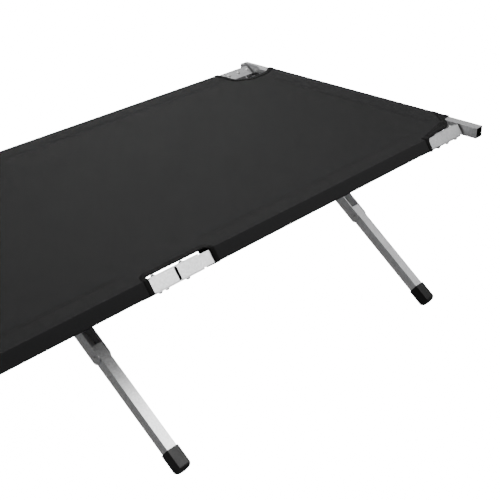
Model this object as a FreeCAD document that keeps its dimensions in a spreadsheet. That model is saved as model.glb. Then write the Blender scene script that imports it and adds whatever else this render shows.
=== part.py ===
import FreeCAD, Part
import os
import Sketcher
from FreeCAD import Placement, Rotation, Vector

# A folding camp cot. The bed runs along X, +X being its head. The near rail is at -Y, the far rail at +Y,
# and the floor is Z = 0 below the middle of the bed. Each rail and its legs are modelled in a side frame:
# X along the rail, Z up along the slope of its legs, Y square to both, with the rail's centre line as X.
# The far side is the near side turned half round about the vertical.

doc = FreeCAD.newDocument("folding_cot")
dims = doc.addObject("Spreadsheet::Sheet", "dims")

DIMENSIONS = [
    ("rail_spacing", 640, "between the centre lines of the two rails"),
    ("rail_height", 464, "floor to the rails' centre lines"),
    ("rail_reach", 908, "middle of the bed to the end of a rail"),
    ("middle_gap", 6, "between the two halves of a rail"),
    ("leg_tilt", 36.5, "degrees between a leg and the floor"),
    ("tube", 25, "outer side of every square tube"),
    ("tube_wall", 1.5, "wall of every square tube"),
    ("plate", 2.5, "thickness of brackets, links and leg channels"),
    ("running_play", 0.05, "radial play of a pin in a piece that turns on it"),
    ("side_play", 0.3, "between a folding tube and its channel, each side"),
    ("web_play", 0.5, "between a folding tube and its channel's web"),
    ("channel_depth", 29, "depth of the upper legs' flanges"),
    ("leg_pitch", 36, "between the centre lines of two crossed legs"),
    ("end_leg_inset", 49, "rail end to the centred leg bracket, at the near rail's head"),
    ("middle_leg_offset", 30, "middle of the bed to the far rail's middle leg"),
    ("knee_drop", 85.92, "crossing bolt to knee pin, down the leg"),
    ("knee_reach", "=rail_spacing / 2 / cos(leg_tilt * 1 deg) + knee_drop", "rail centre to knee pin"),
    ("knee_overlap", 22, "lower tube above its knee pin"),
    ("knee_ear", 13, "channel below its knee pin"),
    ("ear_round", 11, "radius of the channel's lower corners"),
    ("web_relief", 24, "web left out above the knee pin"),
    ("tube_lift", 13, "floor to the centre of a lower tube's end"),
    ("pin_radius", 3, "rivets, knee pins and link pins"),
    ("bolt_radius", 3, "crossing bolts"),
    ("head_radius", 5, "pin and rivet heads"),
    ("head_height", 3, "pin and rivet heads"),
    ("nut_height", 5, "crossing nuts and bolt heads"),
    ("nut_radius", 5.8, "corner radius of crossing nuts and bolt heads"),
    ("spacer_radius", 8, "spacers between crossed legs"),
    ("flange_cover", 23, "how far bracket and link flanges cover the rail"),
    ("bracket_half", 43, "half length of a leg bracket"),
    ("bracket_end", 13, "leg to the short end of an offset bracket"),
    ("tongue_length", 45, "bracket tongue inside the leg channel"),
    ("tongue_width", 20, "bracket tongue"),
    ("rivet_inset", 8, "bracket end to its rivet"),
    ("link_tail", 57, "middle of the bed to the near hinge link's tail end"),
    ("link_head", 59, "middle of the bed to the near hinge link's head end"),
    ("link_pin_tail", 42, "middle of the bed to the near link's tail pin"),
    ("link_pin_head", 25, "middle of the bed to the near link's head pin"),
    ("plug_flange", 1.5, "rail end plug outside the rail"),
    ("plug_depth", 20, "rail end plug inside the rail"),
    ("peg_radius", 4, "peg on a rail end plug"),
    ("peg_height", 0.7, "peg on a rail end plug"),
    ("bar_spare", 76, "both ends of an end bar past the rails' centre lines"),
    ("bar_length", "=rail_spacing + bar_spare", "end bars"),
    ("bar_overhang", 50, "rail centre to the long end of an end bar"),
    ("bar_standoff", 5, "rail end to end bar"),
    ("bar_rise", 5, "rail centre up to end bar centre"),
    ("bar_plate_wall", 1.5, "rounded plate at an end bar's short end"),
    ("bar_plate_reach", 12, "rail centre out to the plate's outer end"),
    ("bar_plate_length", 56, "rounded plate on an end bar"),
    ("bar_plate_height", 26, "rounded plate on an end bar"),
    ("bar_plate_rise", 6, "end bar's centre up to the plate's centre"),
    ("bar_rivet_head", 0.9, "rivet head on the rounded plate"),
    ("cap_length", 50, "foot cap, along the leg"),
    ("cap_wall", 2, "foot cap"),
    ("cap_round", 10, "foot cap's lower corners"),
    ("cap_flat", 0.6, "cut level from the foot cap where it stands"),
    ("cloth", 1.2, "canvas"),
    ("cloth_play", 0.3, "between canvas and the tube in its sleeve"),
    ("sheet_gap", 0.6, "between the bars' sleeves and the sleeping sheet"),
    ("sheet_play", 0.01, "least gap between the rails' sleeves and the sleeping sheet"),
    ("long_corner", 130, "rail end to canvas, at the bars' long ends"),
    ("short_corner", 113, "rail end to canvas, at the bars' short ends"),
    ("long_bar_bare", 89, "end bar's long end to canvas"),
    ("short_bar_bare", 84, "end bar's short end to canvas"),
    ("notch_head", 85, "middle of the bed to the near notch's head side"),
    ("notch_tail", 66, "middle of the bed to the near notch's tail side"),
    ("notch_depth", 26, "hinge notch, in from the edge of the sheet"),
]

for row, (alias, value, note) in enumerate(DIMENSIONS, 1):
    dims.set(f"A{row}", note)
    dims.set(f"B{row}", str(value))
    dims.setAlias(f"B{row}", alias)
doc.recompute()


def number(expression):
    """The value of an expression of the sheet's cells."""
    return float(dims.evalExpression(expression))


# Lengths that follow from the driving dimensions.
TUBE_HALF = "dims.tube / 2"
PLATE_OUT = "(dims.tube / 2 + dims.plate)"
CHANNEL_IN = "(dims.tube / 2 + dims.side_play)"
CHANNEL_OUT = "(dims.tube / 2 + dims.side_play + dims.plate)"
WEB_IN = "(dims.tube / 2 + dims.web_play)"
WEB_OUT = "(dims.tube / 2 + dims.web_play + dims.plate)"
LEG_TOP = PLATE_OUT
CHANNEL_END = "(dims.knee_reach + dims.knee_ear)"
CROSSING_REACH = "(dims.rail_spacing / 2 / cos(dims.leg_tilt * 1 deg))"
CROSSING_HEIGHT = "(dims.rail_height - dims.rail_spacing / 2 * tan(dims.leg_tilt * 1 deg))"
CAP_EDGE = "(dims.tube / 2 + dims.cap_wall - dims.cap_round)"
CAP_DROP = f"(dims.rail_height + dims.cap_flat - dims.cap_round - {CAP_EDGE} * cos(dims.leg_tilt * 1 deg))"
CAP_END = f"(dims.cap_round + {CAP_DROP} / sin(dims.leg_tilt * 1 deg))"
TUBE_END = "((dims.rail_height - dims.tube_lift) / sin(dims.leg_tilt * 1 deg))"
BAR_FACE = "(dims.rail_reach + dims.bar_standoff)"
SLEEVE_OUT = "(dims.tube / 2 + dims.cloth_play + dims.cloth)"

LEG_SLOPE = Rotation(Vector(1, 0, 0), 90 - number("dims.leg_tilt"))
HALF_TURN = Rotation(Vector(0, 0, 1), 180)
SIDES = {
    "near": Placement(Vector(0, -number("dims.rail_spacing / 2"), number("dims.rail_height")), LEG_SLOPE),
    "far": Placement(
        Vector(0, number("dims.rail_spacing / 2"), number("dims.rail_height")), HALF_TURN * LEG_SLOPE
    ),
}
FORWARD_LEG = number("dims.rail_reach - dims.end_leg_inset")
BACKWARD_LEG = -number("dims.rail_reach - dims.end_leg_inset + dims.leg_pitch")
NEAR_MIDDLE_LEG = number("dims.middle_leg_offset - dims.leg_pitch")
LEG_X = {  # along each side frame; the far side's X runs towards the tail
    "near": {"head": FORWARD_LEG, "middle": NEAR_MIDDLE_LEG, "tail": BACKWARD_LEG},
    "far": {"head": BACKWARD_LEG, "middle": -number("dims.middle_leg_offset"), "tail": FORWARD_LEG},
}
ALONG_X = Rotation(Vector(0, 1, 0), 90)  # turns Z to X
ALONG_Y = Rotation(Vector(1, 0, 0), -90)  # turns Z to Y
PLAIN = Rotation()

subparts = []


def at(x=0, y=0, z=0, turn=PLAIN):
    return Placement(Vector(x, y, z), turn)


def along_rail(side, x):
    """The side frame, moved along its rail."""
    return SIDES[side].multiply(at(x))


def is_forward(side, end):
    """Whether an end of the bed is at the +X end of a side frame."""
    return (end == "head") == (side == "near")


def keep(label, piece, placement=Placement()):
    piece.Label = label
    piece.Placement = placement
    subparts.append(piece)
    return piece


# Building blocks


def box(length, width, height, placement=Placement()):
    made = doc.addObject("Part::Box", "box")
    for prop, expression in (("Length", length), ("Width", width), ("Height", height)):
        made.setExpression(prop, expression)
    made.Placement = placement
    return made


def cylinder(radius, height, placement=Placement()):
    made = doc.addObject("Part::Cylinder", "cylinder")
    made.setExpression("Radius", radius)
    made.setExpression("Height", height)
    made.Placement = placement
    return made


def hexagon(radius, height, placement=Placement()):
    made = doc.addObject("Part::Prism", "hexagon")
    made.Polygon = 6
    made.setExpression("Circumradius", radius)
    made.setExpression("Height", height)
    made.Placement = placement
    return made


def rivet_head(height, placement):
    made = doc.addObject("Part::Cone", "rivet_head")
    made.setExpression("Radius1", "dims.head_radius")
    made.setExpression("Radius2", "dims.head_radius - dims.head_height")
    made.setExpression("Height", height)
    made.Placement = placement
    return made


def fused(pieces):
    made = doc.addObject("Part::MultiFuse", "fused")
    made.Shapes = pieces
    made.Refine = True
    return made


def cut(base, tools):
    made = doc.addObject("Part::Cut", "cut")
    made.Base = base
    made.Tool = tools[0] if len(tools) == 1 else fused(tools)
    return made


def group(pieces):
    made = doc.addObject("Part::Compound", "group")
    made.Links = pieces
    return made


def outline(sketch, corners):
    """A closed outline of straight edges, each corner a pair of expressions."""
    first = sketch.GeometryCount
    points = [Vector(number(x), number(y), 0) for x, y in corners]
    for start, end in zip(points, points[1:] + points[:1]):
        sketch.addGeometry(Part.LineSegment(start, end))
    for i, (x, y) in enumerate(corners):
        following = first + (i + 1) % len(corners)
        sketch.addConstraint(Sketcher.Constraint("Coincident", first + i, 2, following, 1))
        for kind, expression in (("DistanceX", x), ("DistanceY", y)):
            held = sketch.addConstraint(Sketcher.Constraint(kind, first + i, 1, number(expression)))
            sketch.setExpression(f"Constraints[{held}]", expression)


def rectangle(left, right, low, high):
    return [(left, low), (right, low), (right, high), (left, high)]


def square(half):
    return rectangle(f"-{half}", half, f"-{half}", half)


def padded(plane, outlines, length):
    """A body with one sketch on one of its origin planes, padded from there."""
    body = doc.addObject("PartDesign::Body", "body")
    sketch = body.newObject("Sketcher::SketchObject", "section")
    sketch.AttachmentSupport = next(o for o in body.Origin.OriginFeatures if o.Role == plane)
    sketch.MapMode = "FlatFace"
    for corners in outlines:
        outline(sketch, corners)
    pad = body.newObject("PartDesign::Pad", "pad")
    pad.Profile = sketch
    pad.setExpression("Length", length)
    return body


def square_tube(plane, length):
    return padded(plane, [square(f"({TUBE_HALF})"), square(f"({TUBE_HALF} - dims.tube_wall)")], length)


def pin(length, placement, radius="dims.pin_radius", head="dims.head_height"):
    """A pin along Z with a head beyond each end of its length."""
    half = number(length) / 2
    shank = cylinder(radius, length, at(z=-half))
    turned = Rotation(Vector(1, 0, 0), 180)
    heads = [rivet_head(head, at(z=half)), rivet_head(head, at(z=-half, turn=turned))]
    made = fused([shank] + heads)
    made.Placement = placement
    return made


def bore(radius, length, placement):
    """A cutting cylinder along Z, centred on its placement."""
    return cylinder(radius, length, placement.multiply(at(z=-number(length) / 2)))


# Rails, with their hinge links and end plugs


def bracket_ends(side, end):
    """How far an end leg's bracket reaches to each side of the leg: (towards -X, towards +X)."""
    if is_forward(side, end):
        return "dims.bracket_half", "dims.bracket_half"
    return "dims.bracket_end", "(2 * dims.bracket_half - dims.bracket_end)"


def bracket_rivet_x(side, end):
    """Where a bracket's rivets pass the rail: one near each end and one midway."""
    back, ahead = (number(e) for e in bracket_ends(side, end))
    inset = number("dims.rivet_inset")
    first, last = LEG_X[side][end] - back + inset, LEG_X[side][end] + ahead - inset
    return [first, (first + last) / 2, last]


def through_rail(x):
    """A bore across the rail, square to the leg."""
    return bore("dims.pin_radius", "2 * dims.tube", at(x=x, turn=ALONG_Y))


def rail_pin(side, x):
    return pin("dims.tube + 2 * dims.plate", along_rail(side, x).multiply(at(turn=ALONG_Y)))


def rail_half(side, end):
    """One half of a rail, from beside the middle gap to its end."""
    forward = is_forward(side, end)
    start = number("dims.middle_gap / 2") if forward else -number("dims.rail_reach")
    tube = square_tube("YZ_Plane", "dims.rail_reach - dims.middle_gap / 2")
    link_pin = number("dims.link_pin_head" if forward else "-dims.link_pin_tail")
    bores = [through_rail(x - start) for x in [link_pin] + bracket_rivet_x(side, end)]
    keep(f"{side}_rail_{end}", cut(tube, bores), along_rail(side, start))


def over_rail(length):
    """A pressed channel over a rail's inner side, its flanges reaching back over the rail."""
    back = "(dims.flange_cover - dims.tube / 2)"
    section = [
        (f"-{PLATE_OUT}", f"-{PLATE_OUT}"),
        (PLATE_OUT, f"-{PLATE_OUT}"),
        (PLATE_OUT, back),
        (TUBE_HALF, back),
        (TUBE_HALF, f"-{TUBE_HALF}"),
        (f"-{TUBE_HALF}", f"-{TUBE_HALF}"),
        (f"-{TUBE_HALF}", back),
        (f"-{PLATE_OUT}", back),
    ]
    return padded("YZ_Plane", [section], length)


def saddle(side, leg_x, back, ahead, rail_x):
    """A pressed channel over the rail with a tongue in a leg's channel, and the tongue's rivets."""
    channel = over_rail(f"{back} + {ahead}")
    channel.Placement = at(x=-number(back))
    tongue_x, tongue_y = -number("dims.tongue_width / 2"), -number(WEB_IN)
    tongue_z = -number(f"{PLATE_OUT} + dims.tongue_length")
    tongue_at = at(tongue_x, tongue_y, tongue_z)
    tongue = box("dims.tongue_width", "dims.plate", "dims.tongue_length + dims.plate", tongue_at)
    bores = [through_rail(x - leg_x) for x in rail_x]
    for z in tongue_rivet_z():
        bores.append(bore("dims.pin_radius", "dims.tube", at(y=tongue_y, z=z, turn=ALONG_Y)))
    made = cut(fused([channel, tongue]), bores)
    made.Placement = along_rail(side, leg_x)
    places = [along_rail(side, leg_x).multiply(at(y=tongue_y, z=z, turn=ALONG_Y)) for z in tongue_rivet_z()]
    return made, [pin("2 * dims.plate", place) for place in places]


def tongue_rivet_z():
    return [-number(f"{LEG_TOP} + dims.tongue_length * {share}") for share in ("1 / 4", "3 / 4")]


def hinge_link(side):
    """The pressed link that joins the two halves of a rail and carries its middle leg."""
    leg_x = LEG_X[side]["middle"]
    pins_x = [-number("dims.link_pin_tail"), number("dims.link_pin_head")]
    link, rivets = saddle(side, leg_x, f"(dims.link_tail + {leg_x})", f"(dims.link_head - {leg_x})", pins_x)
    keep(f"{side}_hinge_link", link, link.Placement)
    keep(f"{side}_link_pins", group([rail_pin(side, x) for x in pins_x]))
    return rivets


def rail_plugs(side):
    """The plugs in the two outer ends of a rail, each with a low peg facing its end bar."""
    plugs = []
    for end in ("head", "tail"):
        reach = number("dims.rail_reach")
        stem = "dims.tube - 2 * dims.tube_wall - 0.4"
        inner = number(stem) / 2
        cover = padded("YZ_Plane", [square(f"({TUBE_HALF})")], "dims.plug_flange")
        insert = box("dims.plug_depth", stem, stem, at(-number("dims.plug_depth"), -inner, -inner))
        peg = cylinder("dims.peg_radius", "dims.plug_flange + dims.peg_height", at(turn=ALONG_X))
        rivets = [abs(x) - reach for x in bracket_rivet_x(side, end)]
        plug = cut(fused([cover, insert, peg]), [through_rail(x) for x in rivets])
        forward = is_forward(side, end)
        facing = at(turn=PLAIN if forward else HALF_TURN)
        plug.Placement = along_rail(side, reach if forward else -reach).multiply(facing)
        plugs.append(plug)
    keep(f"{side}_rail_plugs", group(plugs))


# Legs


def upper_leg(side, station):
    """A channel, open on its upper side, with rounded ears at the knee where its web stops short."""
    section = [
        (f"-{CHANNEL_OUT}", f"-{WEB_OUT}"),
        (CHANNEL_OUT, f"-{WEB_OUT}"),
        (CHANNEL_OUT, f"(dims.channel_depth - {WEB_OUT})"),
        (CHANNEL_IN, f"(dims.channel_depth - {WEB_OUT})"),
        (CHANNEL_IN, f"-{WEB_IN}"),
        (f"-{CHANNEL_IN}", f"-{WEB_IN}"),
        (f"-{CHANNEL_IN}", f"(dims.channel_depth - {WEB_OUT})"),
        (f"-{CHANNEL_OUT}", f"(dims.channel_depth - {WEB_OUT})"),
    ]
    channel = padded("XY_Plane", [section], f"{CHANNEL_END} - {LEG_TOP}")
    channel.Placement = at(z=-number(CHANNEL_END))
    low_y = -number(f"{WEB_OUT} + 1")
    relief = box(
        f"2 * {CHANNEL_IN}",
        "dims.plate + 2",
        "dims.knee_ear + dims.web_relief + 1",
        at(-number(CHANNEL_IN), low_y, -number(f"{CHANNEL_END} + 1")),
    )
    bores = [
        bore("dims.pin_radius", "3 * dims.tube", at(z=-number("dims.knee_reach"), turn=ALONG_X)),
        bore(
            "dims.bolt_radius" if side == "near" else "dims.bolt_radius + dims.running_play",
            "3 * dims.tube",
            at(z=-number(CROSSING_REACH), turn=ALONG_X),
        ),
    ]
    web_y = -number(f"{WEB_OUT} - dims.plate / 2")
    bores += [bore("dims.pin_radius", "dims.tube", at(y=web_y, z=z, turn=ALONG_Y)) for z in tongue_rivet_z()]
    leg = cut(channel, [relief] + bores)
    doc.recompute()
    rounded = doc.addObject("Part::Fillet", "rounded")
    rounded.Base = leg
    ends = [i for i, edge in enumerate(leg.Shape.Edges, 1) if is_ear_corner(edge)]
    radius = number("dims.ear_round")
    rounded.Edges = [(i, radius, radius) for i in ends]
    return keep(f"{side}_upper_leg_{station}", rounded, along_rail(side, LEG_X[side][station]))


def is_ear_corner(edge):
    """A short edge across a flange, at the channel's lower end."""
    bounds = edge.BoundBox
    across = abs(bounds.XLength - number("dims.plate")) < 0.01
    straight = bounds.ZLength < 0.01 and bounds.YLength < 0.01
    return across and straight and abs(bounds.ZMin + number(CHANNEL_END)) < 0.01


def lower_leg(side, station):
    """A square tube that turns on the knee pin, its top reaching up inside the channel."""
    tube = square_tube("XY_Plane", f"{TUBE_END} - dims.knee_reach + dims.knee_overlap")
    tube.Placement = at(z=-number(TUBE_END))
    knee_at = at(z=-number("dims.knee_reach"), turn=ALONG_X)
    knee = bore("dims.pin_radius + dims.running_play", "3 * dims.tube", knee_at)
    return keep(f"{side}_lower_leg_{station}", cut(tube, [knee]), along_rail(side, LEG_X[side][station]))


def foot_cap(side, station):
    """A cap over the lower tube's end, cut level where it stands on the floor."""
    out = f"({TUBE_HALF} + dims.cap_wall)"
    bottom = number(CAP_END)
    corner = -number(out)
    block = box(f"2 * {out}", f"2 * {out}", "dims.cap_length", at(corner, corner, -bottom))
    doc.recompute()
    rounded = doc.addObject("Part::Fillet", "rounded")
    rounded.Base = block
    radius = number("dims.cap_round")
    low = [i for i, edge in enumerate(block.Shape.Edges, 1) if edge.BoundBox.ZMax + bottom < 0.01]
    rounded.Edges = [(i, radius, radius) for i in low]
    inner = -number(TUBE_HALF)
    socket = box("dims.tube", "dims.tube", "2 * dims.cap_length", at(inner, inner, -number(TUBE_END)))
    reach = number("4 * dims.cap_length")
    foot = along_rail(side, LEG_X[side][station]).multVec(Vector(0, 0, -number(CAP_END)))
    floor_at = at(foot.x - reach, foot.y - reach, -reach)
    below = box(
        "8 * dims.cap_length",
        "8 * dims.cap_length",
        "4 * dims.cap_length",
        along_rail(side, LEG_X[side][station]).inverse().multiply(floor_at),
    )
    made = cut(rounded, [socket, below])
    return keep(f"{side}_foot_cap_{station}", made, along_rail(side, LEG_X[side][station]))


def crossing(station):
    """The bolt on which two crossed legs turn, with its nut and the spacer between the legs."""
    start = at(LEG_X["near"][station] - number(CHANNEL_OUT), 0, number(CROSSING_HEIGHT), ALONG_X)
    grip = f"(dims.leg_pitch + 2 * {CHANNEL_OUT})"
    head = hexagon("dims.nut_radius", "dims.nut_height", start.multiply(at(z=-number("dims.nut_height"))))
    shank = cylinder("dims.bolt_radius", f"{grip} + dims.side_play + dims.nut_height", start)
    nut_start = start.multiply(at(z=number(f"{grip} + dims.side_play")))
    nut = hexagon("dims.nut_radius", "dims.nut_height", nut_start)
    hole = cylinder("dims.bolt_radius", "dims.nut_height", nut_start)
    ring_start = start.multiply(at(z=number(f"2 * {CHANNEL_OUT}")))
    gap = f"(dims.leg_pitch - 2 * {CHANNEL_OUT} - dims.side_play)"
    ring = cylinder("dims.spacer_radius", gap, ring_start)
    eye = cylinder("dims.bolt_radius", gap, ring_start)
    return fused([head, shank]), cut(nut, [hole]), cut(ring, [eye])


def side_legs(side):
    brackets, pins = [], []
    rivets = hinge_link(side)
    for end in ("head", "tail"):
        rail_x = bracket_rivet_x(side, end)
        bracket, tongue_rivets = saddle(side, LEG_X[side][end], *bracket_ends(side, end), rail_x)
        brackets.append(bracket)
        rivets += tongue_rivets + [rail_pin(side, x) for x in rail_x]
    for station, x in LEG_X[side].items():
        upper_leg(side, station)
        knee = along_rail(side, x).multiply(at(z=-number("dims.knee_reach"), turn=ALONG_X))
        pins.append(pin(f"2 * {CHANNEL_OUT}", knee))
        lower_leg(side, station)
        foot_cap(side, station)
    keep(f"{side}_leg_brackets", group(brackets))
    keep(f"{side}_bracket_rivets", group(rivets))
    keep(f"{side}_knee_pins", group(pins))


# End bars


def bar_turn(end):
    return PLAIN if end == "head" else HALF_TURN


def end_bar(end):
    """A level square tube across the rail ends, with a rounded plate riveted on at its short end."""
    turn = at(turn=bar_turn(end))
    rail_level, level = number("dims.rail_height"), number("dims.rail_height + dims.bar_rise")
    plate_level = level + number("dims.bar_plate_rise")
    half_spacing = number("dims.rail_spacing / 2")
    short_end = number("dims.bar_length - dims.rail_spacing / 2 - dims.bar_overhang")
    tube = square_tube("XZ_Plane", "dims.bar_length")
    tube.Placement = at(number(f"{BAR_FACE} + {TUBE_HALF}"), short_end, level)
    face_x = number(BAR_FACE)
    pegs_at = [at(face_x, sign * half_spacing, rail_level, ALONG_X) for sign in (1, -1)]
    peg_holes = [bore("dims.peg_radius + 0.5", TUBE_HALF, peg_at) for peg_at in pegs_at]
    plate, rivet_y = bar_plate(half_spacing + number("dims.bar_plate_reach"), plate_level)
    rivet_hole = bore("dims.pin_radius", TUBE_HALF, at(face_x, rivet_y, plate_level, ALONG_X))
    keep(f"{end}_bar", cut(tube, peg_holes + [rivet_hole]), turn)
    keep(f"{end}_bar_plate", cut(plate, [peg_holes[0], rivet_hole]), turn)
    keep(f"{end}_bar_rivet", bar_rivet(rivet_y, plate_level), turn)


def bar_plate(outer_y, level):
    """A flat plate on the bar's inner face, round at its inner end, and the middle of that round end."""
    half_height = number("dims.bar_plate_height / 2")
    back_x = number(f"{BAR_FACE} - dims.bar_plate_wall")
    middle_y = outer_y - number("dims.bar_plate_length") + half_height
    straight = "dims.bar_plate_length - dims.bar_plate_height / 2"
    slab_at = at(back_x, middle_y, level - half_height)
    slab = box("dims.bar_plate_wall", straight, "dims.bar_plate_height", slab_at)
    end_at = at(back_x, middle_y, level, ALONG_X)
    rounded = cylinder("dims.bar_plate_height / 2", "dims.bar_plate_wall", end_at)
    return fused([slab, rounded]), middle_y


def bar_rivet(y, level):
    """A blind rivet through the plate and the bar's wall."""
    face = number(f"{BAR_FACE} - dims.bar_plate_wall")
    shank = cylinder("dims.pin_radius", "dims.bar_plate_wall + dims.tube_wall", at(face, y, level, ALONG_X))
    inwards = ALONG_X.multiply(Rotation(Vector(1, 0, 0), 180))
    head = rivet_head("dims.bar_rivet_head", at(face, y, level, inwards))
    tail_x = number(f"{BAR_FACE} + dims.tube_wall")
    tail = rivet_head("dims.head_height", at(tail_x, y, level, ALONG_X))
    return fused([shank, head, tail])


# Canvas


def ring(plane, outer, length):
    return padded(plane, [square(outer), square(f"({outer} - dims.cloth)")], length)


def rail_sleeve(side, end):
    """The canvas pocket along one half of a rail, from the hinge notch to the corner cut."""
    forward = is_forward(side, end)
    notch = "dims.notch_head" if forward else "dims.notch_tail"
    corner = "dims.long_corner" if forward else "dims.short_corner"
    start = number(notch if forward else f"{corner} - dims.rail_reach")
    sleeve = ring("YZ_Plane", SLEEVE_OUT, f"dims.rail_reach - {corner} - {notch}")
    keep(f"{side}_sleeve_{end}", sleeve, along_rail(side, start))


def end_sleeve(end):
    """The canvas pocket round one end bar, between the bar's bare ends."""
    short_y = number("dims.bar_length - dims.rail_spacing / 2 - dims.bar_overhang - dims.short_bar_bare")
    sleeve = ring("XZ_Plane", SLEEVE_OUT, "dims.bar_length - dims.long_bar_bare - dims.short_bar_bare")
    place = at(number(f"{BAR_FACE} + {TUBE_HALF}"), short_y, number("dims.rail_height + dims.bar_rise"))
    keep(f"canvas_{end}_sleeve", sleeve, at(turn=bar_turn(end)).multiply(place))


def canvas_sheet():
    """The sleeping sheet, cut away at its corners and beside the middle hinges."""
    end_x = f"({BAR_FACE} + dims.tube + dims.cloth_play + dims.cloth)"
    edge_y = "(dims.rail_spacing / 2 + 2)"
    long_x, short_x = "(dims.rail_reach - dims.long_corner)", "(dims.rail_reach - dims.short_corner)"
    long_y = "(dims.rail_spacing / 2 + dims.bar_overhang - dims.long_bar_bare)"
    short_y = "(dims.bar_length - dims.rail_spacing / 2 - dims.bar_overhang - dims.short_bar_bare)"
    notch_y = f"({edge_y} - dims.notch_depth)"
    near_half = [
        (f"-{end_x}", f"-{short_y}"),
        (f"-{short_x}", f"-{edge_y}"),
        ("-dims.notch_tail", f"-{edge_y}"),
        ("-dims.notch_tail", f"-{notch_y}"),
        ("dims.notch_head", f"-{notch_y}"),
        ("dims.notch_head", f"-{edge_y}"),
        (long_x, f"-{edge_y}"),
        (end_x, f"-{long_y}"),
    ]
    far_half = [(f"-({x})", f"-({y})") for x, y in near_half]
    over_bars = f"dims.bar_rise + {SLEEVE_OUT} + dims.sheet_gap"
    corner_rise = f"{SLEEVE_OUT} * (cos(dims.leg_tilt * 1 deg) + sin(dims.leg_tilt * 1 deg))"
    level = number("dims.rail_height") + max(number(over_bars), number(f"{corner_rise} + dims.sheet_play"))
    keep("canvas_sheet", padded("XY_Plane", [near_half + far_half], "dims.cloth"), at(z=level))


for side in SIDES:
    for end in ("head", "tail"):
        rail_half(side, end)
        rail_sleeve(side, end)
    rail_plugs(side)
    side_legs(side)
bolts, nuts, spacers = zip(*(crossing(station) for station in ("head", "middle", "tail")))
keep("crossing_bolts", group(list(bolts)))
keep("crossing_nuts", group(list(nuts)))
keep("crossing_spacers", group(list(spacers)))
for end in ("head", "tail"):
    end_bar(end)
    end_sleeve(end)
canvas_sheet()
doc.recompute()

for made in doc.Objects:
    if "Invalid" in made.State or "Error" in made.State:
        raise RuntimeError(f"{made.Name} ({made.Label}) failed: {made.State}")
for piece in subparts:
    if piece.Shape.isNull() or not piece.Shape.isValid() or not piece.Shape.Solids:
        raise RuntimeError(f"{piece.Label} has no valid solid")

os.makedirs("parts", exist_ok=True)
for piece in subparts:
    piece.Shape.exportStep(f"parts/{piece.Label}.step")
    print(piece.Label, len(piece.Shape.Solids), round(piece.Shape.Volume))
whole = Part.makeCompound([piece.Shape for piece in subparts]).BoundBox
print("pieces", len(subparts), "box", whole)
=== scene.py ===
# %% [markdown]
# # A folding camp cot
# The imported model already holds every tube, channel, pin and cap at its real size. This lesson loads it as
# a fixed frame, gives each metal, rubber and plastic part its finish, and sews the canvas, which is the
# part that a solid modeller leaves plain. Lengths are in metres: the bed runs along X with its head at +X,
# and the floor is Z = 0.

import math

import bmesh
import bpy
from mathutils import Matrix, Vector


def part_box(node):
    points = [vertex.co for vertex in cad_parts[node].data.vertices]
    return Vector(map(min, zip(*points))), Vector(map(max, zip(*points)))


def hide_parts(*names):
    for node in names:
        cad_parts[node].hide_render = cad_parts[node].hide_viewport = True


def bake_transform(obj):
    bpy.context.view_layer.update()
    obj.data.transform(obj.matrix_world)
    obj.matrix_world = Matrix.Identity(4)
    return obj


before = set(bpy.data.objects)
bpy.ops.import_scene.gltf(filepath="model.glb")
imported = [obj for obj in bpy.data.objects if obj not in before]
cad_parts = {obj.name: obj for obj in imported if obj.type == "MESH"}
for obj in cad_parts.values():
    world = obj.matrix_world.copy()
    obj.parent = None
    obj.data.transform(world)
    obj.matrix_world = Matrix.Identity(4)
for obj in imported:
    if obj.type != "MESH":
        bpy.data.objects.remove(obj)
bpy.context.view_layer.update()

# %% [markdown]
# ## Sizes taken from the frame
# The canvas has to fit rails and bars that are already there, so their boxes give its fold lines. Each rail
# is turned to lie square to its legs: one corner of the tube points up, and the cloth breaks over that
# corner.

# %% Fold lines of the canvas
LEG_TILT = 36.5  # degrees between a leg and the floor
SLOPE = math.radians(LEG_TILT)
TUBE = 0.025
rail_low, rail_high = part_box("near_rail_head")
bar_low, bar_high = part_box("head_bar")
rail_y = (rail_low.y + rail_high.y) / 2
TOP = bar_high.z
FOLD_Y = -rail_y + TUBE / 2 * (math.cos(SLOPE) - math.sin(SLOPE))
BAR_IN, FOLD_X = bar_low.x, bar_high.x
CLOTH = 0.0012
CLEAR = 0.0011  # tube to the middle of the cloth
print("cloth folds at x", round(FOLD_X, 4), "y", round(FOLD_Y, 4), "level", round(TOP, 4))

# %% [markdown]
# ## A pocket as a walk
# Seen from its end, a pocket is a walk round the tube: a bend over the corner, a straight run down a face,
# another bend, and so on until the cloth comes back up and is sewn flat under the sheet. Two lists of
# straight runs and bends, one for the rails and one for the end bars, are enough to place every point of
# the cloth.

# %% Walk along runs and bends
WHOLE = 9  # further than any walk goes
HEM = 0.014
LOW_RADIUS, HEM_RADIUS = 0.003, 0.004  # of the bends below the sheet and beside the hem


def bend(degrees, radius=CLEAR):
    return radius * math.radians(abs(degrees)), math.radians(degrees)


def walk(runs, distance):
    """How far out and up the walk has come after a distance, and its heading, where 0 is outwards."""
    out = up = heading = 0.0
    for length, turn in runs:
        step = min(distance, length)
        if turn:
            radius, turned = length / turn, turn * step / length
            out += radius * (math.sin(heading + turned) - math.sin(heading))
            up += radius * (math.cos(heading + turned) - math.cos(heading))
            heading += turned
        else:
            out += step * math.cos(heading)
            up -= step * math.sin(heading)
        distance -= step
        if distance <= 0:
            break
    return out, up, heading


def sewn_back(runs, climb):
    """The runs, with a last climb at that angle to just under the sheet, and a flat hem there."""
    heading = walk(runs, WHOLE)[2]
    turn = math.degrees(2 * math.pi - heading) - (180 - climb)
    runs = runs + [bend(turn, LOW_RADIUS)]
    low = walk(runs, WHOLE)[1]
    steepness = math.radians(climb)
    rise = -low - CLOTH * 1.1 - HEM_RADIUS * (1 - math.cos(steepness))
    return runs + [(rise / math.sin(steepness), 0), bend(-climb, HEM_RADIUS), (HEM, 0)]


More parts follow.
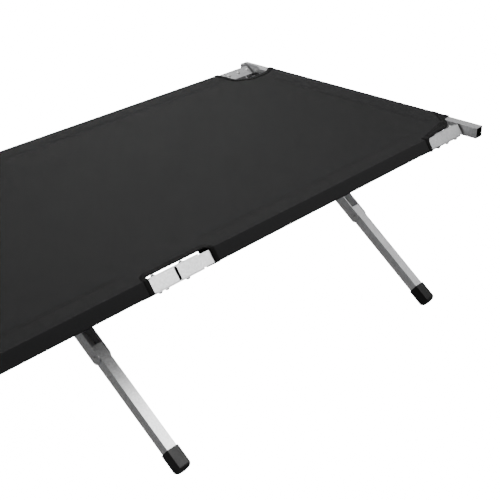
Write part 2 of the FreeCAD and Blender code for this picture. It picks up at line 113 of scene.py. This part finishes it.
face = (TUBE, 0)
RAIL_POCKET = sewn_back([bend(90 - LEG_TILT), face, bend(90), face], climb=52)
BAR_POCKET = sewn_back([bend(90), face, bend(90), face], climb=42)
RAIL_WRAP, BAR_WRAP = (sum(length for length, _ in runs) for runs in (RAIL_POCKET, BAR_POCKET))
print("cloth round a rail", round(RAIL_WRAP, 4), "round an end bar", round(BAR_WRAP, 4))

# %% [markdown]
# ## From flat cloth to the bed
# The canvas is drawn flat, cut flat, and only then laid on the frame. One function takes a point of the
# flat cloth to its place on the bed, so the sheet, its binding and every stitch follow the same surface.
# The sheet is taut, but weight and sewing leave it a few millimetres lower in the middle, with faint pulls
# towards the cut corners. Cloth that comes back under the sheet is lowered with it.

# %% Place a point of the flat cloth
SAG = 0.0035
PULL_SPREAD, PULL_EDGE, PULL_WAVES = 0.10, 0.02, 7
PULLS = [  # where each starts, and its depth
    (0.085, -0.31, 0.0005), (-0.064, -0.31, 0.0005), (-0.085, 0.31, 0.0005), (0.064, 0.31, 0.0005),
    (0.80, -0.31, 0.0006), (0.86, 0.245, 0.0007), (-0.80, 0.31, 0.0006), (-0.86, -0.245, 0.0007),
]


def smooth(value):
    value = max(0.0, min(1.0, value))
    return value * value * (3 - 2 * value)


def ease(u, v):
    """How much lower the taut sheet lies at a point inside its fold lines."""
    across, along = 1 - (v / FOLD_Y) ** 2, 1 - (u / FOLD_X) ** 8
    low = SAG * across * along
    for pull_u, pull_v, depth in PULLS:
        du, dv = u - pull_u, v - pull_v
        far = math.hypot(du, dv) / PULL_SPREAD
        edge = smooth((FOLD_Y - abs(v)) / PULL_EDGE) * smooth((FOLD_X - abs(u)) / PULL_EDGE)
        low += depth * edge * math.sin(PULL_WAVES * math.atan2(dv, du)) * math.exp(-far) * smooth(far)
    return low


def laid(u, v, lift=0.0):
    """The place on the bed of a point of the flat cloth, and its outward normal."""
    side, end = math.copysign(1, v), math.copysign(1, u)
    if abs(v) > FOLD_Y:
        out, up, heading = walk(RAIL_POCKET, abs(v) - FOLD_Y)
        lowered = ease(u, side * (FOLD_Y + min(out, 0)))
        place = Vector((u, side * (FOLD_Y + out), TOP + CLEAR + up - lowered))
        normal = Vector((0, side * math.sin(heading), math.cos(heading)))
    elif abs(u) > FOLD_X:
        out, up, heading = walk(BAR_POCKET, abs(u) - FOLD_X)
        lowered = ease(end * (FOLD_X + min(out, 0)), v)
        place = Vector((end * (FOLD_X + out), v, TOP + CLEAR + up - lowered))
        normal = Vector((end * math.sin(heading), 0, math.cos(heading)))
    else:
        place = Vector((u, v, TOP + CLEAR - ease(u, v)))
        normal = Vector((0, 0, 1))
    return place + normal * lift, normal


print("lowest point of the sheet", round(laid(0, 0)[0].z, 4))

# %% [markdown]
# ## The cut of the canvas
# The pattern is one piece: the sleeping sheet with a flap along each side that becomes a pocket. Its
# corners are scooped out so that rails and bars can meet, and a notch at each middle hinge leaves the link
# free. The pattern looks the same when it is turned half round, so only the near side is drawn.

# %% Draw the pattern
SIDE, END = FOLD_Y + RAIL_WRAP, FOLD_X + BAR_WRAP
NOTCH_HEAD, NOTCH_TAIL, NOTCH_IN = 0.085, -0.064, -0.3125
CORNER_ROUND = 0.009
NEAR_SIDE = [
    (END, -0.280), (FOLD_X - 0.004, -0.280), (0.913, -0.283), (0.903, -0.297), (0.880, -0.3145),
    (0.838, -0.3175), (0.784, -FOLD_Y - 0.001), (0.773, -SIDE),
    (NOTCH_HEAD, -SIDE), (NOTCH_HEAD, NOTCH_IN), (NOTCH_TAIL, NOTCH_IN), (NOTCH_TAIL, -SIDE),
    (-0.797, -SIDE), (-0.799, -FOLD_Y + 0.004), (-0.803, -0.264), (-0.842, -0.245), (-0.902, -0.249),
    (-FOLD_X + 0.006, -0.266), (-END, -0.267),
]


def pattern():
    """The flat outline as one face, its inner corners rounded."""
    bm = bmesh.new()
    points = NEAR_SIDE + [(-u, -v) for u, v in NEAR_SIDE]
    bm.faces.new([bm.verts.new((u, v, 0)) for u, v in points])
    inner = [v for v in bm.verts if abs(v.co.y) < FOLD_Y + 0.002 and abs(v.co.x) < FOLD_X]
    rounding = {"offset": CORNER_ROUND, "segments": 5, "profile": 0.5, "affect": "VERTICES", "material": -1}
    bmesh.ops.bevel(bm, geom=inner, **rounding)
    bmesh.ops.recalc_face_normals(bm, faces=bm.faces[:])
    if bm.faces[:][0].normal.z < 0:
        bmesh.ops.reverse_faces(bm, faces=bm.faces[:])
    return bm


flat = pattern()
FLAT_AREA = sum(f.calc_area() for f in flat.faces)
print("flat size", round(2 * SIDE, 3), round(2 * END, 3), "area", round(FLAT_AREA, 3))

# %% [markdown]
# ## Slices
# A face can only bend where it has edges. The pattern is sliced straight across by planes, as if it were
# drawn on squared paper: wide squares where the cloth is flat, and close lines where it breaks over a
# tube's corner.

# %% Where the slices go
SHEET_STEP, POCKET_STEP = 0.0105, 0.009


def bend_lines(runs, start):
    """Distances of the slices round a pocket, with three inside each bend."""
    lines, distance = [start], start
    for length, turn in runs[:-1]:
        steps = 4 if turn else max(1, round(length / POCKET_STEP))
        lines += [distance + length * (i + 1) / steps for i in range(steps)]
        distance += length
    return lines


def even_lines(limit, step):
    count = math.ceil(limit / step)
    return [limit * (i / count) for i in range(-count + 1, count)]


rail_lines, bar_lines = bend_lines(RAIL_POCKET, FOLD_Y), bend_lines(BAR_POCKET, FOLD_X)
U_LINES = even_lines(FOLD_X, SHEET_STEP) + bar_lines + [-u for u in bar_lines]
V_LINES = even_lines(FOLD_Y, SHEET_STEP) + rail_lines + [-v for v in rail_lines]


def sliced(bm):
    """The flat mesh, cut along every line of the squared paper."""
    for axis, lines in (((1, 0, 0), U_LINES), ((0, 1, 0), V_LINES)):
        for line in lines:
            geom = bm.verts[:] + bm.edges[:] + bm.faces[:]
            middle = Vector(axis) * line
            bmesh.ops.bisect_plane(bm, geom=geom, plane_co=middle, plane_no=axis, dist=0.00002)
    return bm


print("slices", len(U_LINES), "across and", len(V_LINES), "along")

# %% [markdown]
# ## Lay the cloth
# Each corner of the flat mesh keeps its flat place as a UV, in metres, so the weave will run with the cloth
# round every pocket. Then the mesh is laid on the frame and given its thickness.

# %% Turn flat mesh into laid cloth
def lay(bm, name, thickness):
    """An object of laid cloth, from a flat mesh."""
    uv = bm.loops.layers.uv.new("cloth")
    for f in bm.faces:
        f.smooth = True
        for loop in f.loops:
            loop[uv].uv = loop.vert.co.xy
    for v in bm.verts:
        v.co = laid(v.co.x, v.co.y)[0]
    mesh = bpy.data.meshes.new(name)
    bm.to_mesh(mesh)
    bm.free()
    piece = bpy.data.objects.new(name, mesh)
    bpy.context.collection.objects.link(piece)
    wall = piece.modifiers.new("thickness", "SOLIDIFY")
    wall.thickness, wall.offset = thickness, 0
    print(name, len(mesh.polygons), "faces")
    return piece


canvas = lay(sliced(flat), "canvas", CLOTH)

# %% [markdown]
# ## Binding
# Every cut edge is bound with black tape, folded over the edge and sewn down. An inset of the pattern gives
# a ring of the tape's width, and the parts of the ring that lie along sewn pocket edges are taken away
# again.

# %% Cut the binding from the same pattern
TAPE, TAPE_BULK, SHADE_PATCH_BULK = 0.0105, 0.0016, 0.0009  # width of the tape, and what each adds to the cloth


def is_sewn_edge(f):
    """A ring face along the inner end of a pocket, where the hem has no tape."""
    middle = f.calc_center_median()
    return abs(middle.y) > SIDE - TAPE or abs(middle.x) > END - TAPE


tape = pattern()
bmesh.ops.inset_region(tape, faces=tape.faces[:], thickness=TAPE, use_boundary=True, use_even_offset=True)
inner_face = max(tape.faces, key=lambda f: f.calc_area())
tape_rows = [
    (e.verts[0].co.copy(), e.verts[1].co.copy())
    for e in inner_face.edges
    if not any(is_sewn_edge(f) for f in e.link_faces if f != inner_face)
]
bmesh.ops.delete(tape, geom=[inner_face] + [f for f in tape.faces if is_sewn_edge(f)], context="FACES")
binding = lay(sliced(tape), "canvas_binding", CLOTH + TAPE_BULK)

# %% [markdown]
# At each corner beside the long ends of the bars, a black patch of the binding tape lies over the cloth as
# painted shade, standing for the shadowed pocket and bar sleeve there. Each is cut from the same pattern by
# two planes: one along the patch's straight inner edge, one across the rail's pocket.

# %% Cut the corner patches of painted shade
SHADE_PATCH_EDGES = [((0.776, -0.3125), (-0.0350, 0.159)), ((0.7735, -0.32), (-1, 0.03))]  # point, way out


def shade_patch_corner(turn):
    """The corner of the pattern beyond the inner edge of the painted shade patch."""
    bm = pattern()
    for point, normal in SHADE_PATCH_EDGES:
        geom = bm.verts[:] + bm.edges[:] + bm.faces[:]
        place, away = (Vector((*pair, 0)) * turn for pair in (point, normal))
        bmesh.ops.bisect_plane(bm, geom=geom, plane_co=place, plane_no=away, clear_outer=True)
    return bm


# Black patches of painted shade over the corners beside the bars.
shade_patches = [
    lay(sliced(shade_patch_corner(turn)), name, CLOTH + SHADE_PATCH_BULK)
    for turn, name in ((1, "head_shade_patch"), (-1, "tail_shade_patch"))
]

# %% [markdown]
# ## Stitches
# Stitches are what tells sewn cloth from a plate. Two rows hold each pocket's hem and one row holds the
# tape. Each stitch is a small rounded bead laid along its row and pressed half into the cloth.

# %% Sew rows of stitches
PITCH, LONG, THICK = 0.0042, 0.0030, 0.00042
SEAM_IN, ROW_GAP = 0.007, 0.0065  # hem's edge to the first row, and between the two rows
SCALE = Matrix.Diagonal((LONG / 2, THICK, THICK))


def sew(bm, start, end, lift):
    """Stitches from one point of the flat cloth to another."""
    run = end - start
    count = int(run.length / PITCH)
    turn = Matrix.Rotation(math.atan2(run.y, run.x), 3, "Z")
    for i in range(count):
        at = start + run * ((i + 0.5) / count)
        place, normal = laid(at.x, at.y, lift)
        stand = Vector((0, 0, 1)).rotation_difference(normal).to_matrix()
        matrix = Matrix.Translation(place) @ (stand @ turn @ SCALE).to_4x4()
        bmesh.ops.create_icosphere(bm, subdivisions=1, radius=1, matrix=matrix)


rail_seam = FOLD_Y + walk(RAIL_POCKET, WHOLE)[0] + SEAM_IN
bar_seam = FOLD_X + walk(BAR_POCKET, WHOLE)[0] + SEAM_IN
threads = bmesh.new()
for turn in (1, -1):
    for row in (0, ROW_GAP):
        v = -(rail_seam + row)
        for start, end in ((-0.792, -0.080), (0.101, 0.795)):
            sew(threads, Vector((start, v, 0)) * turn, Vector((end, v, 0)) * turn, CLOTH / 2)
        u = bar_seam + row
        sew(threads, Vector((u, -0.270, 0)) * turn, Vector((u, 0.240, 0)) * turn, CLOTH / 2)
for start, end in tape_rows:
    sew(threads, start, end, (CLOTH + TAPE_BULK) / 2)
stitches_mesh = bpy.data.meshes.new("canvas_stitches")
threads.to_mesh(stitches_mesh)
threads.free()
stitches = bpy.data.objects.new("canvas_stitches", stitches_mesh)
bpy.context.collection.objects.link(stitches)
print("stitches", len(stitches_mesh.polygons) // 20)

# %% [markdown]
# ## Shader maths in words
# A node tree is easier to read as sums. The small class below wraps a socket so that plus, minus and times
# add Math nodes, and one method adds any other node from its type, its settings and its inputs.

# %% Sockets that can be added up
class Value:
    def __init__(self, finish, socket):
        self.finish, self.socket = finish, socket

    def __getitem__(self, name):
        return Value(self.finish, self.socket.node.outputs[name])

    def maths(self, operation, *others):
        return self.finish.node("ShaderNodeMath", {"operation": operation}, dict(enumerate((self, *others))))

    def __add__(self, other):
        return self.maths("ADD", other)

    def __sub__(self, other):
        return self.maths("SUBTRACT", other)

    def __rsub__(self, other):
        return self.finish.node("ShaderNodeMath", {"operation": "SUBTRACT"}, {0: other, 1: self})

    def __mul__(self, other):
        return self.maths("MULTIPLY", other)

    __radd__, __rmul__ = __add__, __mul__

    def clamped(self):
        return self.maths("MAXIMUM", 0.0).maths("MINIMUM", 1.0)


class Finish:
    """A material, built from a principled shader and whatever feeds it."""

    def __init__(self, name, **constants):
        self.material = bpy.data.materials.new(name)
        self.material.use_nodes = True
        self.tree = self.material.node_tree
        self.shader = self.tree.nodes["Principled BSDF"]
        for socket, value in constants.items():
            self.shader.inputs[socket.replace("_", " ")].default_value = value

    def node(self, kind, settings=None, inputs=None):
        """Any node: its type, its settings, and a value or a link for each input."""
        made = self.tree.nodes.new(kind)
        for key, value in (settings or {}).items():
            setattr(made, key, value)
        for key, value in (inputs or {}).items():
            if isinstance(value, Value):
                self.tree.links.new(value.socket, made.inputs[key])
            else:
                made.inputs[key].default_value = value
        return Value(self, next(s for s in made.outputs if s.enabled))

    def feed(self, **links):
        for socket, value in links.items():
            self.tree.links.new(value.socket, self.shader.inputs[socket.replace("_", " ")])

    def place(self, kind="Object"):
        return self.node("ShaderNodeTexCoord")[kind]

    def noise(self, vector, scale, detail=3.0, roughness=0.5):
        inputs = {"Vector": vector, "Scale": scale, "Detail": detail, "Roughness": roughness}
        return self.node("ShaderNodeTexNoise", None, inputs)

    def between(self, factor, first, second):
        """A colour between two, by a factor that varies."""
        return self.mix(factor, (*first, 1), (*second, 1))

    def mix(self, factor, first, second):
        return self.node("ShaderNodeMix", {"data_type": "RGBA"}, {0: factor, 6: first, 7: second})

    def bump(self, height, distance, strength, softened=None):
        """Bumps, on edges that look rounded to the softened radius."""
        inputs = {"Height": height, "Distance": distance, "Strength": strength}
        if softened:
            inputs["Normal"] = self.node("ShaderNodeBevel", {"samples": 3}, {"Radius": softened})
        return self.node("ShaderNodeBump", None, inputs)


print("shader tools ready")

# %% [markdown]
# ## Canvas
# The cloth is a heavy plain weave in charcoal polyester. Sines across and along the cloth make the
# over-and-under of the threads as bumps, and slower noise gives the uneven tone and the slight polish that
# tight cloth gets with use.

# %% Weave the canvas
def woven(name, thread, dark, light, rough, height):
    finish = Finish(name, Specular_IOR_Level=0.14)
    cloth = finish.place("UV")
    parts = finish.node("ShaderNodeSeparateXYZ", None, {0: cloth})
    turns = 2 * math.pi / thread
    warp, weft = (parts["X"] * turns).maths("SINE"), (parts["Y"] * turns).maths("SINE")
    over = warp * weft
    stretched = finish.node("ShaderNodeMapping", None, {"Vector": cloth, "Scale": (1, 9, 1)})
    slubs = finish.noise(stretched, 160, 2)
    tone = finish.noise(cloth, 5.5, 4, 0.6)
    grain = finish.noise(cloth, 900, 2)
    level = (tone * 0.75 + slubs * 0.35 + over * 0.10 + grain * 0.25 - 0.30).clamped()
    finish.feed(
        Base_Color=finish.between(level, dark, light),
        Roughness=rough + 0.10 * tone + 0.05 * over,
        Normal=finish.bump(over * 0.8 + slubs * 0.5 + grain * 0.3, height, 0.7),
    )
    return finish.material


def grey(level):
    return level, level, level


CHARCOAL = (0.0046, 0.0046, 0.0048), (0.0112, 0.0112, 0.0115)
canvas_cloth = woven("charcoal_canvas", 0.0014, *CHARCOAL, 0.66, 0.00022)
tape_cloth = woven("black_binding_tape", 0.0009, grey(0.0008), grey(0.0022), 0.75, 0.00015)
thread_finish = woven("black_thread", 0.0006, grey(0.003), grey(0.008), 0.6, 0.0001)
for piece, finish in ((canvas, canvas_cloth), (binding, tape_cloth), (stitches, thread_finish)):
    piece.data.materials.append(finish)
# The corner patches of painted shade take the black tape finish: a black sheet where the pocket and bar are
# only in shadow.
for piece in shade_patches:
    piece.data.materials.append(tape_cloth)
print("cloth finishes", canvas_cloth.name, tape_cloth.name, thread_finish.name)

# %% [markdown]
# ## Aluminium
# Drawn tube carries fine lines along its length, and rolled and pressed parts are a little duller with
# faint handling marks. One function makes both: noise is squeezed across the part's direction so that it
# streaks along it, and a bevel node softens the edges that a solid modeller leaves sharp. The end bars are
# open at their ends, and the inner walls of their tube get painted shade, chosen by place: near black and
# without metal shine, where the real tube is only in shadow.

# %% Satin aluminium with lines along a direction
SHINE = 0.85
# Near-black colour of the painted shade inside the end bars' bore.
PAINTED_BORE_SHADE = (0.01, 0.01, 0.01, 1)


def aluminium(name, turn, squeeze, tone, rough, lines=1.0, shaded_bore=None):
    """Lines run along the axis that isn't squeezed, once the place has been turned about X."""
    finish = Finish(name, Metallic=SHINE)
    place = finish.place()
    about_x = {"rotation_type": "X_AXIS"}
    turned = finish.node("ShaderNodeVectorRotate", about_x, {"Vector": place, "Angle": turn})
    squeezed = finish.node("ShaderNodeMapping", None, {"Vector": turned, "Scale": squeeze})
    drawn = finish.noise(squeezed, 1.0, 3, 0.7)
    smudges = finish.noise(place, 16, 4, 0.6)
    mottle = finish.noise(place, 260, 3, 0.6)
    pits = finish.noise(place, 700, 2)
    dull = tuple(c * 0.55 for c in tone)
    colour = finish.between((drawn * 0.5 + smudges * 0.5 + mottle * 1.6 - 0.85).clamped(), dull, tone)
    # Painted shade: the inner walls of the bore are coloured near black and lose their metal shine, standing
    # in for the shadow inside the open tube.
    if shaded_bore:
        middle_x, middle_z, half = shaded_bore
        parts = finish.node("ShaderNodeSeparateXYZ", None, {0: place})
        beside = (parts["X"].maths("ABSOLUTE") - middle_x).maths("ABSOLUTE").maths("LESS_THAN", half)
        level = (parts["Z"] - middle_z).maths("ABSOLUTE").maths("LESS_THAN", half)
        inside = beside * level
        colour = finish.mix(inside, colour, PAINTED_BORE_SHADE)
        finish.feed(Metallic=SHINE - inside * SHINE)
    finish.feed(
        Base_Color=colour,
        Roughness=(drawn * (0.16 * lines) + smudges * 0.16 + (rough - 0.14)).clamped(),
        Normal=finish.bump(drawn * lines + pits * 0.3, 0.00004, 0.6, softened=0.0007),
    )
    return finish.material


ALONG_X, ALONG_Y, ALONG_Z = (5, 1400, 1400), (1400, 5, 1400), (1400, 1400, 5)
BRIGHT, PRESSED = (0.80, 0.805, 0.81), (0.70, 0.705, 0.71)
LEG_TURN = {"near": math.pi / 2 - SLOPE, "far": SLOPE - math.pi / 2}
rail_finish = aluminium("drawn_rail_aluminium", 0.0, ALONG_X, BRIGHT, 0.34)
# The bore of the end bars, whose inner walls get painted shade.
BAR_BORE = ((BAR_IN + FOLD_X) / 2, TOP - TUBE / 2, TUBE / 2 - 0.0012)  # middle X and Z, and half its width
bar_finish = aluminium("drawn_bar_aluminium", 0.0, ALONG_Y, BRIGHT, 0.34, shaded_bore=BAR_BORE)
leg_finish = {
    side: aluminium(f"drawn_{side}_leg_aluminium", turn, ALONG_Z, BRIGHT, 0.33)
    for side, turn in LEG_TURN.items()
}
channel_finish = {
    side: aluminium(f"rolled_{side}_leg_aluminium", turn, ALONG_Z, PRESSED, 0.42, 0.5)
    for side, turn in LEG_TURN.items()
}
bracket_finish = aluminium("pressed_bracket_aluminium", 0.0, ALONG_X, PRESSED, 0.40, 0.4)
print("aluminium finishes ready")

# %% [markdown]
# ## Steel, rubber and plastic
# Rivets, pins and bolts are zinc plated: greyer, with small crystals. The foot caps are black rubber with a
# mould grain, a little paler where they stand. Rail plugs and spacers are moulded plastic.

# %% Small parts
def zinc():
    finish = Finish("zinc_steel", Metallic=1.0)
    place = finish.place()
    crystals = finish.node("ShaderNodeTexVoronoi", None, {"Vector": place, "Scale": 900.0})["Distance"]
    stain = finish.noise(place, 60, 3)
    level = (crystals * 0.6 + stain * 0.5).clamped()
    finish.feed(
        Base_Color=finish.between(level, (0.46, 0.46, 0.45), (0.68, 0.68, 0.67)),
        Roughness=0.24 + 0.20 * stain + 0.12 * crystals,
        Normal=finish.bump(crystals, 0.00006, 0.4, softened=0.0006),
    )
    return finish.material


SCUFF_TOP = 0.016  # height of the scuffs above the floor


def moulded(name, dark, light, rough, grain, dust):
    finish = Finish(name, Specular_IOR_Level=0.25)
    place = finish.place()
    height = finish.node("ShaderNodeSeparateXYZ", None, {0: place})["Z"]
    clouds, skin = finish.noise(place, 40, 4, 0.6), finish.noise(place, 1100, 2)
    low = ((SCUFF_TOP - height) * 70).clamped() * dust
    level = (clouds * 0.5 + skin * 0.2 + low * (clouds * 1.2)).clamped()
    finish.feed(
        Base_Color=finish.between(level, dark, light),
        Roughness=(rough - 0.08 + 0.16 * clouds + 0.25 * low).clamped(),
        Normal=finish.bump(skin + clouds * 0.4, grain, 0.6, softened=0.0009),
    )
    return finish.material


zinc_finish = zinc()
rubber_finish = moulded("black_rubber", grey(0.002), grey(0.007), 0.40, 0.00018, 1.0)
plug_finish = moulded("black_plug_plastic", grey(0.008), grey(0.018), 0.42, 0.00008, 0.0)
spacer_finish = moulded("grey_nylon", (0.030, 0.030, 0.031), (0.060, 0.060, 0.062), 0.5, 0.00008, 0.0)
print("small part finishes ready")

# %% Give every carried part its finish
def finish_for(node):
    side = "far" if node.startswith("far") else "near"
    table = [
        ("lower_leg", leg_finish[side]), ("upper_leg", channel_finish[side]), ("foot_cap", rubber_finish),
        ("rail_plugs", plug_finish), ("spacers", spacer_finish),
        ("pins", zinc_finish), ("rivet", zinc_finish), ("bolts", zinc_finish), ("nuts", zinc_finish),
        ("bracket", bracket_finish), ("link", bracket_finish), ("_plate", bracket_finish),
        ("_rail_", rail_finish), ("_bar", bar_finish),
    ]
    return next((finish for key, finish in table if key in node), canvas_cloth)


for name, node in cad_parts.items():
    node.data.materials.clear()
    node.data.materials.append(finish_for(name))
print("finished nodes", len(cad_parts))

# %% [markdown]
# ## The canvas in place of the solids
# The near and far frames close like scissors about the crossing bolts. The sewn canvas stands for the plain
# solids of the sheet and pockets, which are hidden, and its pieces keep their place baked into their meshes.

SOLIDS = ["canvas_sheet", "canvas_head_sleeve", "canvas_tail_sleeve"]
SOLIDS += [f"{side}_sleeve_{end}" for side in ("near", "far") for end in ("head", "tail")]
2 * SIDE
2 * END
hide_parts(*SOLIDS)
for piece in (canvas, binding, stitches, *shade_patches):
    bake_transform(piece)
print("canvas replaces", len(SOLIDS), "solids")

# %% [markdown]
# ## Floor, light and camera
# A pale, lit floor keeps the cot's outline clear. Three large soft lights, above, in front and behind, give
# the bright upper faces of the legs and rails. The surrounding darkens towards the horizon, which leaves
# the faces between them grey.

# %% Floor and light
ground = bmesh.new()
bmesh.ops.create_grid(ground, x_segments=2, y_segments=2, size=20)
floor_mesh = bpy.data.meshes.new("floor")
ground.to_mesh(floor_mesh)
ground.free()
floor = bpy.data.objects.new("floor", floor_mesh)
bpy.context.collection.objects.link(floor)
paper = Finish("pale_floor", Specular_IOR_Level=0.1, Roughness=0.9)
paper.shader.inputs["Base Color"].default_value = (0.93, 0.93, 0.93, 1)
paper.shader.inputs["Emission Color"].default_value = (1, 1, 1, 1)
paper.shader.inputs["Emission Strength"].default_value = 16.0
floor_mesh.materials.append(paper.material)
floor.visible_glossy = floor.visible_diffuse = False

world = bpy.data.worlds.new("studio")
bpy.context.scene.world = world
world.use_nodes = True
nodes, links = world.node_tree.nodes, world.node_tree.links
direction = nodes.new("ShaderNodeSeparateXYZ")
links.new(nodes.new("ShaderNodeTexCoord").outputs["Generated"], direction.inputs[0])
ramp = nodes.new("ShaderNodeValToRGB")
for stop, (position, level) in zip(ramp.color_ramp.elements, ((0.0, 0.32), (0.9, 0.8))):
    stop.position, stop.color = position, (level, level, level * 1.01, 1)
links.new(direction.outputs["Z"], ramp.inputs[0])
links.new(ramp.outputs[0], nodes["Background"].inputs["Color"])
nodes["Background"].inputs["Strength"].default_value = 0.8


def soft_light(name, size, power, where, towards=(0.2, 0, 0.3)):
    data = bpy.data.lights.new(name, "AREA")
    data.shape, data.size, data.energy = "SQUARE", size, power
    lamp = bpy.data.objects.new(name, data)
    bpy.context.collection.objects.link(lamp)
    lamp.location = where
    lamp.rotation_euler = (Vector(towards) - Vector(where)).to_track_quat("-Z", "Y").to_euler()


soft_light("overhead", 2.2, 55, (0.3, 0.8, 3.2))
soft_light("front", 1.7, 72, (1.5, -1.7, 2.5))
soft_light("behind", 1.6, 45, (3.4, 3.9, 1.9))
print("lights", len(bpy.data.lights))

# %% Camera
YAW, TILT_DOWN, LENS = math.radians(41.48), math.radians(27.61), 76.84
CAMERA_AT = (-1.1185, -1.4833, 1.3541)
camera_data = bpy.data.cameras.new("camera")
camera_data.sensor_width, camera_data.lens = 36, LENS
camera_data.dof.use_dof = False
camera = bpy.data.objects.new("camera", camera_data)
bpy.context.collection.objects.link(camera)
camera.location = CAMERA_AT
level = math.cos(TILT_DOWN)
look = Vector((math.cos(YAW) * level, math.sin(YAW) * level, -math.sin(TILT_DOWN)))
camera.rotation_euler = look.to_track_quat("-Z", "Y").to_euler()
bpy.context.scene.camera = camera
print("camera", [round(v, 3) for v in camera.location])
